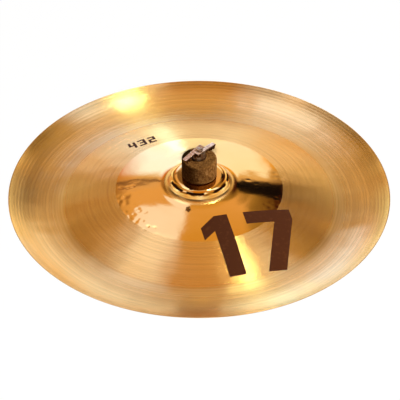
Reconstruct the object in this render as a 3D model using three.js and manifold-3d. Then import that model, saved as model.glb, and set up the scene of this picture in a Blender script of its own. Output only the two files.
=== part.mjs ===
// A china cymbal with the rod, sleeve, felts and wing nut that hold it.
// Millimetres, +Z up. The origin is the centre of the rod's flat foot.
import * as THREE from "three";
import { mergeVertices } from "three/addons/utils/BufferGeometryUtils.js";
import Module from "manifold-3d";

const wasm = await Module();
wasm.setup();

// Fits
const seatGap = 0.3; // between two pieces that rest on or slide over each other
const feltPlay = 0.5; // between a felt's bore and the sleeve
const holePlay = 0.85; // between the cymbal's hole and the sleeve
const overrun = 1; // how far a cutter runs past the face it cuts

// Threaded rod
const rodDiameter = 8;
const rodChamfer = 0.8;
const rodProud = 1; // stands out above the wing nut
const seatHeight = 36.4; // from the foot to the underside of the hex nut

// Hex nut that carries the stack
const hexFlats = 13;
const hexHeight = 6.5;
const hexChamfer = 1;

// Cup washer
const cupSheet = 1.2;
const cupFloorDiameter = 39.6;
const cupLipHeight = 3.6;
const cupLipFlare = 2;
const wellPlay = 0.6; // round the sleeve's flange
const wellFlare = 0.8;

// Sleeve
const sleeveWall = 1.2;
const sleeveFlangeDiameter = 20;
const sleeveFlangeHeight = 1.6;
const sleeveStand = 8; // above the top of the bell
const sleeveChamfer = 0.5;

// Felts
const lowerFeltDiameter = 38;
const lowerFeltHeight = 12;
const upperFeltDiameter = 40;
const upperFeltHeight = 23.6;
const feltEdge = 1.6; // radius of the soft outer edges

// Cymbal, measured on its upper surface
const cymbalDiameter = 432;
const bellSheet = 1.1; // the sheet at the hole
const rimSheet = 0.8; // the sheet at the rim, which it thins down to
const flangeWidth = 52; // from the trough out to the rim
const flangeRise = 13; // the rim above the trough
const bendWidth = 9; // from the end of the bow out to the trough
const bowEdgeRise = 1.6; // the end of the bow above the trough
const bowRise = 28.5; // the bow's crown, carried on under the bell, above the trough
const bellRise = 10.2; // the top of the bell above the bow's crown
const bellFlatDiameter = 48;
const bellFlatDrop = 0.5; // how far the bell's top falls to where its shoulder begins
const bellCornerDiameter = 66;
const bellCornerDrop = 0.9;
const bellWallDiameter = 70;
const bellWallDrop = 7.7;
const bellFootDiameter = 98;

// The flange's curve between the trough and the rim, as shares of its width and its rise
const flangeFlatShare = 0.38;
const flangeKneeShare = 0.69;
const flangeKneeRiseShare = 0.23;

// Washer under the wing nut
const washerDiameter = 16;
const washerHeight = 1.6;

// Wing nut
const nutHeight = 9.2;
const hubBaseDiameter = 17.2;
const hubTopDiameter = 12.6;
const hubChamfer = 0.6;
const wingSpan = 46;
const wingOffset = 2.6; // each wing stands to its own side of the axis
const wingRootWidth = 7.2; // seen from above, at the axis
const wingTipWidth = 5.8;
const wingWeb = 2;
const wingRim = 1.5; // border left standing round the web
const wingTopStep = 0.3; // wings below the top of the hub
const wingTipDrop = 3;
const wingTipHeight = 5.2;
const wingTipTaper = 2.6;
const wingTipRound = 1.6;
const wingArchHeight = 4.6; // underside of the wing where it leaves the hub
const wingFootWidth = 5.75; // the low end of the wing, outside the arch
const wingTurn = THREE.MathUtils.degToRad(50); // how the nut stands, from +X towards +Y

// Facets
const cymbalSides = 72;
const smallSides = 40;
const curveSteps = 4;
const bowSteps = 8;
const flangeSteps = 7;

// Sizes that follow from the ones above
const rodRadius = rodDiameter / 2;
const boreRadius = rodRadius + seatGap;
const sleeveRadius = boreRadius + sleeveWall;
const feltBoreRadius = sleeveRadius + feltPlay;
const holeRadius = sleeveRadius + holePlay;
const wellDepth = seatGap + sleeveFlangeHeight;

// Heights of the stack, from the foot up
const cupHeight = seatHeight + hexHeight + seatGap;
const sleeveHeight = cupHeight + cupSheet + seatGap;
const lowerFeltFloor = sleeveHeight + sleeveFlangeHeight + seatGap;
const bellTop = lowerFeltFloor + lowerFeltHeight + seatGap + bellSheet;
const upperFeltFloor = bellTop + seatGap;
const washerFloor = upperFeltFloor + upperFeltHeight + seatGap;
const nutFloor = washerFloor + washerHeight + seatGap;
const rodLength = nutFloor + nutHeight + rodProud;

// Turned pieces

// A body of revolution about Z from an outline of [radius, height] pairs, listed anticlockwise.
function turned(outline, sides) {
  const points = outline.map(([radius, height]) => new THREE.Vector2(radius, height));
  return new THREE.LatheGeometry(points, sides).rotateX(Math.PI / 2);
}

// A solid cylinder with chamfered ends.
function turnedPin(radius, height, chamfer) {
  return [
    [0, 0],
    [radius - chamfer, 0],
    [radius, chamfer],
    [radius, height - chamfer],
    [radius - chamfer, height],
    [0, height],
  ];
}

// A ring whose outer edges are rounded, and whose bore is square.
function roundedRing(bore, radius, height, edge) {
  const section = new THREE.Path()
    .moveTo(bore, 0)
    .lineTo(radius - edge, 0)
    .quadraticCurveTo(radius, 0, radius, edge)
    .lineTo(radius, height - edge)
    .quadraticCurveTo(radius, height, radius - edge, height)
    .lineTo(bore, height)
    .lineTo(bore, 0);
  return section.getPoints(curveSteps).map((point) => [point.x, point.y]);
}

// The closed section of a sheet whose upper surface runs through the given points, from the axis out.
// Its thickness changes evenly with the radius.
function sheetSection(upper, innerThickness, outerThickness) {
  const last = upper.length - 1;
  const span = upper[last].x - upper[0].x;
  const lower = upper.map((point, i) => {
    const thickness = innerThickness + ((outerThickness - innerThickness) * (point.x - upper[0].x)) / span;
    const before = point.clone().sub(upper[Math.max(i - 1, 0)]).normalize();
    const after = upper[Math.min(i + 1, last)].clone().sub(point).normalize();
    if (i === 0) before.copy(after);
    if (i === last) after.copy(before);
    const along = before.add(after).normalize();
    const corner = along.dot(after); // the offset grows as the corner gets sharper
    if (i === 0 || i === last) return new THREE.Vector2(point.x, point.y - thickness / along.x); // cut straight down
    return new THREE.Vector2(point.x + (along.y * thickness) / corner, point.y - (along.x * thickness) / corner);
  });
  const pairs = [...lower, ...upper.toReversed(), lower[0]];
  return pairs.map((point) => [point.x, point.y]);
}

// Joining and cutting

function solidOf(geometry) {
  const bare = new THREE.BufferGeometry().setAttribute("position", geometry.getAttribute("position"));
  bare.setIndex(geometry.index);
  const merged = mergeVertices(bare);
  const mesh = { numProp: 3, vertProperties: merged.attributes.position.array };
  mesh.triVerts = new Uint32Array(merged.index.array);
  return new wasm.Manifold(new wasm.Mesh(mesh));
}

function geometryOf(solid) {
  const mesh = solid.getMesh();
  const geometry = new THREE.BufferGeometry();
  geometry.setAttribute("position", new THREE.BufferAttribute(mesh.vertProperties, mesh.numProp));
  geometry.setIndex(new THREE.BufferAttribute(mesh.triVerts, 1));
  geometry.computeVertexNormals();
  return geometry;
}

// The cutter for a bore through a piece of the given height.
function boreCutter(height) {
  const ends = [
    [0, -overrun],
    [boreRadius, -overrun],
    [boreRadius, height + overrun],
    [0, height + overrun],
  ];
  return solidOf(turned(ends, smallSides));
}

// The pieces

function threadedRod() {
  return turned(turnedPin(rodRadius, rodLength, rodChamfer), smallSides);
}

// A hexagonal bar, its corners chamfered top and bottom by a turned form, with the bore cut through.
function hexNut() {
  const cornerRadius = hexFlats / Math.sqrt(3);
  const outline = new THREE.Shape();
  for (let corner = 0; corner < 6; corner += 1) {
    const angle = (corner * Math.PI) / 3;
    const point = [cornerRadius * Math.cos(angle), cornerRadius * Math.sin(angle)];
    if (corner === 0) outline.moveTo(...point);
    else outline.lineTo(...point);
  }
  outline.closePath();
  const bar = new THREE.ExtrudeGeometry(outline, { depth: hexHeight, bevelEnabled: false });
  const form = turned(
    [
      [0, 0],
      [hexFlats / 2, 0],
      [hexFlats / 2 + hexChamfer, hexChamfer],
      [hexFlats / 2 + hexChamfer, hexHeight - hexChamfer],
      [hexFlats / 2, hexHeight],
      [0, hexHeight],
    ],
    smallSides,
  );
  return geometryOf(solidOf(bar).intersect(solidOf(form)).subtract(boreCutter(hexHeight)));
}

// A pressed washer: a well for the sleeve's flange, a flat floor for the felt and a flared lip round it.
function cupWasher() {
  const wellRadius = sleeveFlangeDiameter / 2 + wellPlay;
  const floorRadius = cupFloorDiameter / 2;
  const upper = [
    new THREE.Vector2(boreRadius, cupSheet),
    new THREE.Vector2(wellRadius, cupSheet),
    new THREE.Vector2(wellRadius + wellFlare, cupSheet + wellDepth),
    new THREE.Vector2(floorRadius, cupSheet + wellDepth),
    new THREE.Vector2(floorRadius + cupLipFlare, cupSheet + wellDepth + cupLipHeight),
  ];
  return turned(sheetSection(upper, cupSheet, cupSheet), smallSides);
}

// A tube with a flange at its foot that keeps the cymbal off the rod.
function sleeve() {
  const height = bellTop + sleeveStand - sleeveHeight;
  const section = [
    [boreRadius, 0],
    [sleeveFlangeDiameter / 2, 0],
    [sleeveFlangeDiameter / 2, sleeveFlangeHeight],
    [sleeveRadius, sleeveFlangeHeight],
    [sleeveRadius, height - sleeveChamfer],
    [sleeveRadius - sleeveChamfer, height],
    [boreRadius, height],
    [boreRadius, 0],
  ];
  return turned(section, smallSides);
}

function felt(diameter, height) {
  return turned(roundedRing(feltBoreRadius, diameter / 2, height, feltEdge), smallSides);
}

// The cymbal's upper surface from the hole to the rim, with height zero at the trough:
// the bell's top, shoulder and wall, the long bow, the bend and the upturned flange.
function cymbalUpper() {
  const top = bowRise + bellRise;
  const footRadius = bellFootDiameter / 2;
  const rimRadius = cymbalDiameter / 2;
  const troughRadius = rimRadius - flangeWidth;
  const bowRadius = troughRadius - bendWidth;
  const fall = (bowRise - bowEdgeRise) / bowRadius ** 2;
  const bowHeight = (radius) => bowRise - fall * radius ** 2;
  const bowSlope = (radius) => -2 * fall * radius;
  const wallSlope = (bellWallDrop - bellCornerDrop) / (bellWallDiameter / 2 - bellCornerDiameter / 2);
  // Where the line of the bell's wall meets the line of the bow's start
  const wallRadius = bellWallDiameter / 2;
  const wallHeight = top - bellWallDrop;
  const heelRadius =
    (wallHeight + wallSlope * wallRadius - bowHeight(footRadius) + bowSlope(footRadius) * footRadius) /
    (wallSlope + bowSlope(footRadius));
  const heelHeight = wallHeight - wallSlope * (heelRadius - wallRadius);
  const bowMid = (footRadius + bowRadius) / 2;
  const bendRadius = bowRadius - bowEdgeRise / bowSlope(bowRadius);

  const stretches = [
    [
      new THREE.QuadraticBezierCurve(
        new THREE.Vector2(holeRadius, top),
        new THREE.Vector2((holeRadius + bellFlatDiameter / 2) / 2, top),
        new THREE.Vector2(bellFlatDiameter / 2, top - bellFlatDrop),
      ),
      2,
    ],
    [
      new THREE.QuadraticBezierCurve(
        new THREE.Vector2(bellFlatDiameter / 2, top - bellFlatDrop),
        new THREE.Vector2(bellCornerDiameter / 2, top - bellCornerDrop),
        new THREE.Vector2(wallRadius, wallHeight),
      ),
      curveSteps,
    ],
    [
      new THREE.QuadraticBezierCurve(
        new THREE.Vector2(wallRadius, wallHeight),
        new THREE.Vector2(heelRadius, heelHeight),
        new THREE.Vector2(footRadius, bowHeight(footRadius)),
      ),
      curveSteps,
    ],
    [
      new THREE.QuadraticBezierCurve(
        new THREE.Vector2(footRadius, bowHeight(footRadius)),
        new THREE.Vector2(bowMid, bowHeight(footRadius) + bowSlope(footRadius) * (bowMid - footRadius)),
        new THREE.Vector2(bowRadius, bowEdgeRise),
      ),
      bowSteps,
    ],
    [
      new THREE.QuadraticBezierCurve(
        new THREE.Vector2(bowRadius, bowEdgeRise),
        new THREE.Vector2(bendRadius, 0),
        new THREE.Vector2(troughRadius, 0),
      ),
      curveSteps,
    ],
    [
      new THREE.CubicBezierCurve(
        new THREE.Vector2(troughRadius, 0),
        new THREE.Vector2(troughRadius + flangeWidth * flangeFlatShare, 0),
        new THREE.Vector2(troughRadius + flangeWidth * flangeKneeShare, flangeRise * flangeKneeRiseShare),
        new THREE.Vector2(rimRadius, flangeRise),
      ),
      flangeSteps,
    ],
  ];
  const points = [stretches[0][0].getPoint(0)];
  for (const [curve, steps] of stretches) points.push(...curve.getPoints(steps).slice(1));
  return points;
}

function cymbal() {
  return turned(sheetSection(cymbalUpper(), bellSheet, rimSheet), cymbalSides);
}

function nutWasher() {
  const section = [
    [boreRadius, 0],
    [washerDiameter / 2, 0],
    [washerDiameter / 2, washerHeight],
    [boreRadius, washerHeight],
    [boreRadius, 0],
  ];
  return turned(section, smallSides);
}

// One wing seen from its side, from inside the hub to the tip, drawn in by inset all round.
// The top falls a little towards the tip, the tip slants in to its foot, and the underside rises to the hub
// in an arch.
function wingSide(root, inset) {
  const top = nutHeight - wingTopStep - inset;
  const tip = wingSpan / 2 - inset;
  const tipTop = top - wingTipDrop;
  const foot = nutHeight - wingTopStep - wingTipDrop - wingTipHeight + inset;
  const arch = wingArchHeight + inset;
  const heel = tip - wingTipTaper;
  const archEnd = wingSpan / 2 - wingTipTaper - wingFootWidth + inset;
  const archMid = (root + archEnd) / 2;
  const round = wingTipRound - inset / 2;
  return new THREE.Shape()
    .moveTo(root, arch)
    .bezierCurveTo(archMid, arch, archMid, foot, archEnd, foot)
    .lineTo(heel - round, foot)
    .quadraticCurveTo(heel, foot, heel + (tip - heel) / 4, foot + round)
    .lineTo(tip, tipTop - round)
    .quadraticCurveTo(tip, tipTop, tip - round, tipTop)
    .lineTo(root, top)
    .closePath();
}

// One wing seen from above, tapering from the axis to the tip.
function wingPlan() {
  const tip = wingSpan / 2 + overrun;
  return new THREE.Shape()
    .moveTo(0, -wingRootWidth / 2)
    .lineTo(tip, -wingTipWidth / 2)
    .lineTo(tip, wingTipWidth / 2)
    .lineTo(0, wingRootWidth / 2)
    .closePath();
}

// A flat form drawn in X and Z and extruded to the given depth, standing centred on Y = 0.
function standing(shape, depth) {
  const geometry = new THREE.ExtrudeGeometry(shape, { depth, curveSegments: curveSteps, bevelEnabled: false });
  return geometry.translate(0, 0, -depth / 2).rotateX(Math.PI / 2);
}

// A cast wing nut: a tapered hub, and two wings whose webs are sunk between raised borders. The wings run past
// the axis on opposite sides, so that the nut looks like a stretched S from above.
function wingNut() {
  const hub = turned(
    [
      [0, 0],
      [hubBaseDiameter / 2 - hubChamfer, 0],
      [hubBaseDiameter / 2, hubChamfer],
      [hubTopDiameter / 2, nutHeight - hubChamfer],
      [hubTopDiameter / 2 - hubChamfer, nutHeight],
      [0, nutHeight],
    ],
    smallSides,
  );
  const plan = new THREE.ExtrudeGeometry(wingPlan(), { depth: nutHeight, bevelEnabled: false });
  const cutterDepth = wingRootWidth / 2;
  const cutterPlace = wingWeb / 2 + cutterDepth / 2;
  const pocket = wingSide(hubBaseDiameter / 2, wingRim);
  const wing = solidOf(standing(wingSide(0, 0), wingRootWidth + overrun))
    .intersect(solidOf(plan))
    .subtract(solidOf(standing(pocket, cutterDepth).translate(0, cutterPlace, 0)))
    .subtract(solidOf(standing(pocket, cutterDepth).translate(0, -cutterPlace, 0)))
    .translate([0, -wingOffset, 0]);
  const whole = solidOf(hub).add(wing).add(wing.rotate([0, 0, 180]));
  return geometryOf(whole.subtract(boreCutter(nutHeight)));
}

// Materials

function finish(color, roughness, metalness) {
  return new THREE.MeshStandardMaterial({ color, roughness, metalness });
}

const bronze = finish(0xc98a3c, 0.28, 1);
const chrome = finish(0xd8d4cf, 0.12, 1);
const zincSteel = finish(0xb4b2ab, 0.35, 1);
const blackNylon = finish(0x17171a, 0.55, 0);
const brownFelt = finish(0x4a2f1c, 0.95, 0);

// Assembly

function place(name, geometry, material, height) {
  const mesh = new THREE.Mesh(geometry, material.clone());
  mesh.name = name;
  mesh.position.z = height;
  return mesh;
}

const stem = new THREE.Group().add(
  place("threaded_rod", threadedRod(), zincSteel, 0),
  place("hex_nut", hexNut(), zincSteel, seatHeight),
  place("cup_washer", cupWasher(), zincSteel, cupHeight),
);

const cushion = new THREE.Group().add(
  place("sleeve", sleeve(), blackNylon, sleeveHeight),
  place("lower_felt", felt(lowerFeltDiameter, lowerFeltHeight), brownFelt, lowerFeltFloor),
  place("upper_felt", felt(upperFeltDiameter, upperFeltHeight), brownFelt, upperFeltFloor),
);

const plate = new THREE.Group().add(place("cymbal", cymbal(), bronze, bellTop - bowRise - bellRise));

const clamp = new THREE.Group().add(
  place("nut_washer", nutWasher(), zincSteel, washerFloor),
  place("wing_nut", wingNut(), chrome, nutFloor),
);
clamp.rotation.z = wingTurn;

export default new THREE.Group().add(stem, cushion, plate, clamp);
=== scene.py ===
"""The looks of a china cymbal with the rod, felts and nuts that hold it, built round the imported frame.

Everything is in metres with +Z up. The origin is the centre of the rod's flat foot.
"""

import logging
import math
import random
from collections.abc import Callable, Mapping, Sequence
from dataclasses import dataclass, field
from enum import Enum
from typing import Any

import bmesh
import bpy
import numpy as np
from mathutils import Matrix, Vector, noise
from mathutils.geometry import delaunay_2d_cdt


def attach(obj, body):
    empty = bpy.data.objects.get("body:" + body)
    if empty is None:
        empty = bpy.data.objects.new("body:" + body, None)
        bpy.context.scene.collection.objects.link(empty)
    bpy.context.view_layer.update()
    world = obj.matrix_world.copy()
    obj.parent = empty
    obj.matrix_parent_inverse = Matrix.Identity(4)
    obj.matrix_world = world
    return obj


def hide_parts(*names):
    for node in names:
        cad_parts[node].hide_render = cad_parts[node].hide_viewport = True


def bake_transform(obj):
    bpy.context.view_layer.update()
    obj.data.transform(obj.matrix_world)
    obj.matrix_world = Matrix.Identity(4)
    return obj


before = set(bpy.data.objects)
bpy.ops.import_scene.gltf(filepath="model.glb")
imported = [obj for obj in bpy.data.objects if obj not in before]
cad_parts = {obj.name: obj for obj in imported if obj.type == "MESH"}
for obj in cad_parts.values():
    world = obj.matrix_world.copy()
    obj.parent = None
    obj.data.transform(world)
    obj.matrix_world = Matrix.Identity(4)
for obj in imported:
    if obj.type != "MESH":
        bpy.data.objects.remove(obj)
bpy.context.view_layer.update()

LOG = logging.getLogger("cymbal")
MM = 0.001

Point = tuple[float, float]
Span = tuple[float, float]
Triple = tuple[float, float, float]
Colour = Triple

WHITE: Colour = (1.0, 1.0, 1.0)


class Body(str, Enum):
    """The moving bodies of the frame that pieces ride on."""

    ROD = "rod"
    SLEEVE = "sleeve"
    FELTS = "felts"
    CYMBAL = "cymbal"
    NUT_WASHER = "nut_washer"
    WING_NUT = "wing_nut"


class Slot(str, Enum):
    """The record's material slots."""

    BRONZE = "bronze"
    FELT = "brown_felt"
    CHROME = "nut_chrome"
    PLATE = "plated_steel"
    ROD = "rod_steel"
    NYLON = "black_nylon"


# Shader expressions


def _operator(operation: str, reflected: bool = False) -> Callable[["Term", "Value"], "Term"]:
    """Makes an arithmetic method of Term.

    Args:
        operation: the Math node's operation.
        reflected: whether the term stands on the right of the operator.

    Returns:
        A method that adds one Math node.
    """

    def method(self: "Term", other: "Value") -> "Term":
        """The term and the other value under the operation."""
        return self.graph.maths(operation, *((other, self) if reflected else (self, other)))

    return method


class Term:
    """A socket of a node tree that takes part in arithmetic."""

    def __init__(self, graph: "Graph", socket: bpy.types.NodeSocket | None) -> None:
        """Wraps one output socket."""
        self.graph = graph
        self.socket = socket

    __add__, __radd__ = _operator("ADD"), _operator("ADD", reflected=True)
    __sub__, __rsub__ = _operator("SUBTRACT"), _operator("SUBTRACT", reflected=True)
    __mul__, __rmul__ = _operator("MULTIPLY"), _operator("MULTIPLY", reflected=True)
    __truediv__, __rtruediv__ = _operator("DIVIDE"), _operator("DIVIDE", reflected=True)


Value = Term | float


class Graph:
    """Adds nodes to one node tree."""

    def __init__(self, tree: bpy.types.NodeTree) -> None:
        """Starts from an empty tree."""
        self.tree = tree
        tree.nodes.clear()

    def node(
        self,
        kind: str,
        settings: Mapping[str, Any] | None = None,
        sockets: Mapping[str | int, Any] | None = None,
        out: str | int = 0,
    ) -> Term:
        """Adds one node.

        Args:
            kind: the node's type, such as ShaderNodeMath.
            settings: its properties, set before the sockets; stops are a ramp's (place, colour) pairs.
            sockets: values or terms by the input's name or number.
            out: the name or number of the output that is returned.

        Returns:
            The chosen output.
        """
        made = self.tree.nodes.new(kind)
        for name, setting in (settings or {}).items():
            if name == "stops":
                self._set_stops(made.color_ramp, setting)
            else:
                setattr(made, name, setting)
        for name, value in (sockets or {}).items():
            if isinstance(value, Term):
                self.tree.links.new(value.socket, made.inputs[name])
            elif isinstance(value, tuple) and len(value) == 3 and made.inputs[name].type == "RGBA":
                made.inputs[name].default_value = (*value, 1.0)
            else:
                made.inputs[name].default_value = value
        return Term(self, made.outputs[out] if made.outputs else None)

    @staticmethod
    def _set_stops(ramp: bpy.types.ColorRamp, stops: Sequence[tuple[float, Colour]]) -> None:
        """Gives a colour ramp its stops, listed from left to right, with eased steps between them."""
        ramp.interpolation = "EASE"
        while len(ramp.elements) < len(stops):
            ramp.elements.new(1.0)
        for element, (place, colour) in zip(ramp.elements, stops, strict=True):
            element.position = place
            element.color = (*colour, 1.0)

    def maths(self, operation: str, *values: Value) -> Term:
        """A Math node on one, two or three numbers."""
        return self.node("ShaderNodeMath", {"operation": operation}, dict(enumerate(values)))

    def stretched(self, vector: Term, factors: Triple) -> Term:
        """A vector times a factor along each axis."""
        return self.node("ShaderNodeVectorMath", {"operation": "MULTIPLY"}, {0: vector, 1: factors})

    def scaled(self, vector: Term, factor: Value) -> Term:
        """A vector or colour times a number."""
        return self.node("ShaderNodeVectorMath", {"operation": "SCALE"}, {0: vector, "Scale": factor})

    def axes(self, vector: Term) -> tuple[Term, ...]:
        """The three components of a vector."""
        made = self.node("ShaderNodeSeparateXYZ", None, {0: vector})
        return tuple(Term(self, output) for output in made.socket.node.outputs)

    def smooth(self, value: Value, start: float, end: float) -> Term:
        """A smooth step from 0 at start to 1 at end, of which either may be the smaller."""
        return self.node(
            "ShaderNodeMapRange",
            {"interpolation_type": "SMOOTHSTEP"},
            {"Value": value, "From Min": start, "From Max": end},
        )

    def within(self, value: Value, half: float, soft: float) -> Term:
        """1 where a value is closer to 0 than half and 0 beyond, with an edge soft on both sides."""
        return self.smooth(self.maths("ABSOLUTE", value), half + soft, half - soft)

    def mix(self, factor: Value, first: Any, second: Any) -> Term:
        """A Mix node on two colours."""
        settings = {"data_type": "RGBA", "clamp_factor": True}
        return self.node("ShaderNodeMix", settings, {0: factor, 6: first, 7: second}, 2)

    def ramp(self, value: Value, stops: Sequence[tuple[float, Colour]]) -> Term:
        """A colour ramp."""
        return self.node("ShaderNodeValToRGB", {"stops": stops}, {0: value})

    def noise(
        self, at: Term, scale: float, detail: float = 3.0, roughness: float = 0.5, rings: bool = False
    ) -> Term:
        """Noise from 0 to 1 by a point, or for rings by a radius."""
        sockets = {"W" if rings else "Vector": at, "Scale": scale, "Detail": detail, "Roughness": roughness}
        return self.node("ShaderNodeTexNoise", {"noise_dimensions": "1D" if rings else "3D"}, sockets)

    def read(self, kind: str, out: str) -> Term:
        """An output of a node that takes no input."""
        return self.node(kind, None, None, out)

    def length(self, x: Term, y: Term) -> Term:
        """The length of a flat vector."""
        return self.maths("SQRT", x * x + y * y)

    def radius(self, place: Term) -> Term:
        """A point's distance from the object's axis, in millimetres."""
        x, y, _ = self.axes(place)
        return self.length(x, y) / MM

    def ray(self, kind: str) -> Term:
        """1 for rays of a kind that the Light Path node names, such as Is Camera Ray."""
        return self.read("ShaderNodeLightPath", kind)

    def blended(self, factor: Term, first: Term, second: Term) -> Term:
        """A Mix Shader node."""
        return self.node("ShaderNodeMixShader", None, {0: factor, 1: first, 2: second})

    def bump(self, height: Value, distance: float, strength: float) -> Term:
        """A Bump node for the Normal socket; distance is in metres."""
        sockets = {"Strength": strength, "Distance": distance, "Height": height}
        return self.node("ShaderNodeBump", None, sockets)

    def shader(self, colour: Term, roughness: Value, normal: Term, **constants: Any) -> Term:
        """A Principled BSDF.

        Args:
            colour: its base colour.
            roughness: its roughness.
            normal: its normal.
            constants: the same all over; an underscore in a name stands for the space in the socket's.

        Returns:
            The shader.
        """
        sockets = {name.replace("_", " "): value for name, value in constants.items()}
        sockets |= {"Base Color": colour, "Roughness": roughness, "Normal": normal}
        return self.node("ShaderNodeBsdfPrincipled", None, sockets)


def material(name: str, paint: Callable[[Graph, Term], Term]) -> bpy.types.Material:
    """Makes a material.

    Args:
        name: the material's name.
        paint: builds the nodes from the point in the piece's own coordinates and returns the shader.

    Returns:
        The new material.
    """
    made = bpy.data.materials.new(name)
    made.use_nodes = True
    graph = Graph(made.node_tree)
    surface = paint(graph, graph.read("ShaderNodeTexCoord", "Object"))
    graph.node("ShaderNodeOutputMaterial", None, {"Surface": surface})
    return made


# Finishes


@dataclass(frozen=True)
class Finish:
    """What all finishes share; uneven is how much a noise adds to a roughness, contrast how it is cut off."""

    name: str

    def make(self) -> bpy.types.Material:
        """The material."""
        return material(self.name, self.paint)

    def paint(self, g: Graph, place: Term) -> Term:
        """Adds the nodes, which read the point in the piece's own coordinates, and returns the shader."""
        raise NotImplementedError


@dataclass(frozen=True)
class PolishedBronze(Finish):
    """Cast bronze, hammered and buffed to a mirror."""

    name: str = "polished_bronze"
    colour: Colour = (0.86, 0.50, 0.17)
    deep: Colour = (0.84, 0.46, 0.14)
    roughness: float = 0.05
    uneven: float = 0.03
    corner_haze: float = 0.24
    corner_start: Span = (33.0, 34.4)
    corner_end: Span = (42.5, 38.0)

    def paint(self, g: Graph, place: Term) -> Term:
        """The shader: faint cloudiness, duller in the corner round the bell that a wheel misses."""
        radius = g.radius(place)
        corner = g.smooth(radius, *self.corner_start) * g.smooth(radius, *self.corner_end)
        haze = g.noise(place, 160.0, detail=4.0, roughness=0.6)
        return g.shader(
            g.mix(g.noise(place, 28.0), self.deep, self.colour),
            self.roughness + self.uneven * haze + self.corner_haze * corner,
            g.bump(g.noise(place, 60.0), distance=0.0006, strength=0.12),
            Metallic=1.0,
        )


@dataclass(frozen=True)
class LathedBronze(Finish):
    """Bronze cut with fine concentric grooves, which spread a highlight across themselves."""

    name: str = "lathed_bronze"
    colour: Colour = (0.89, 0.532, 0.192)
    groove: Colour = (0.815, 0.468, 0.157)
    roughness: float = 0.215
    uneven: float = 0.05
    contrast: Span = (0.36, 0.6)
    grain: float = 1.0
    dullness: float = 0.0
    bend_haze: float = 0.08
    bend_start: Span = (151.0, 156.0)
    bend_end: Span = (170.0, 160.0)

    def paint(self, g: Graph, place: Term) -> Term:
        """The shader: tone by ring, fine grooves as bump, and grooves that stretch the gloss."""
        radius = g.radius(place)
        fine = g.noise(radius, 1.7, roughness=0.7, rings=True)
        cloud = g.noise(place, 22.0)
        broad = g.noise(radius, 0.16, detail=2.0, rings=True)
        cut = g.noise(radius, 0.42, detail=1.0, rings=True)
        tone = g.smooth(0.3 * broad + 0.42 * cut + 0.08 * fine + 0.2 * cloud, *self.contrast)
        bend = g.smooth(radius, *self.bend_start) * g.smooth(radius, *self.bend_end)
        return g.shader(
            g.mix(tone, self.groove, self.colour),
            self.roughness + self.uneven * fine + self.dullness * cloud + self.bend_haze * bend,
            g.bump(fine, distance=0.00006, strength=0.35),
            Metallic=1.0,
            Anisotropic=self.grain,
            Anisotropic_Rotation=0.25,
        )


@dataclass(frozen=True)
class PressedFelt(Finish):
    """Brown wool felt, pressed hard, with light and dark fibres."""

    name: str = "pressed_felt"
    dark: Colour = (0.050, 0.019, 0.004)
    mid: Colour = (0.130, 0.058, 0.015)
    pale: Colour = (0.235, 0.122, 0.040)
    sheen: Colour = (0.75, 0.5, 0.3)
    roughness: float = 0.95
    contrast: Span = (0.36, 0.66)

    def paint(self, g: Graph, place: Term) -> Term:
        """The shader: matted fibres in three browns."""
        mat = g.noise(place, 420.0, detail=5.0, roughness=0.65)
        fibre = g.noise(g.stretched(place, (1.0, 1.0, 2.6)), 1300.0, roughness=0.6)
        value = 0.5 * mat + 0.3 * fibre + 0.2 * g.noise(place, 150.0)
        browns = [(0.0, self.dark), (0.5, self.mid), (1.0, self.pale)]
        return g.shader(
            g.ramp(g.smooth(value, *self.contrast), browns),
            self.roughness,
            g.bump(0.6 * mat + 0.4 * fibre, distance=0.0009, strength=0.9),
            Specular_IOR_Level=0.05,
            Sheen_Weight=0.04,
            Sheen_Roughness=0.5,
            Sheen_Tint=self.sheen,
        )


@dataclass(frozen=True)
class PlatedCasting(Finish):
    """A zinc casting under warm nickel-chrome plate."""

    name: str = "plated_casting"
    colour: Colour = (0.84, 0.60, 0.46)
    worn: Colour = (0.58, 0.38, 0.27)
    # painted shade: the dark colour that sideways faces and the hub below the wings are darkened towards
    painted_shade: Colour = (0.105, 0.050, 0.023)
    hub_top: Span = (94.1, 93.6)
    hub_reach: Span = (9.0, 8.0)
    side_slope: Span = (0.85, 0.45)
    # strengths of the painted shade on the sides and over the hub
    side_shade: float = 0.92
    hub_shade: float = 0.85
    roughness: float = 0.16
    uneven: float = 0.16
    contrast: Span = (0.35, 0.65)

    def paint(self, g: Graph, place: Term) -> Term:
        """The shader: uneven plate, with painted shade on its sides and over the hub below the wings, so that
        its tops stay bright.
        """
        height = g.axes(place)[2] / MM
        upward = g.axes(g.read("ShaderNodeNewGeometry", "Normal"))[2]
        cast = g.noise(place, 260.0)
        speck = g.noise(place, 900.0, roughness=0.6)
        plate = g.mix(g.smooth(cast, *self.contrast), self.worn, self.colour)
        # painted shade on faces that turn sideways, chosen by the surface normal
        sides = self.side_shade * g.smooth(upward + 0.3 * (cast - 0.5), *self.side_slope)
        # painted shade over the hub, below the height of its top and within its radius
        hub_shade_mask = g.smooth(height, *self.hub_top) * g.smooth(g.radius(place), *self.hub_reach)
        return g.shader(
            g.mix(g.maths("MAXIMUM", sides, self.hub_shade * hub_shade_mask), plate, self.painted_shade),
            self.roughness + self.uneven * speck,
            g.bump(0.7 * cast + 0.3 * speck, distance=0.0006, strength=0.25),
            Metallic=1.0,
        )


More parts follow.
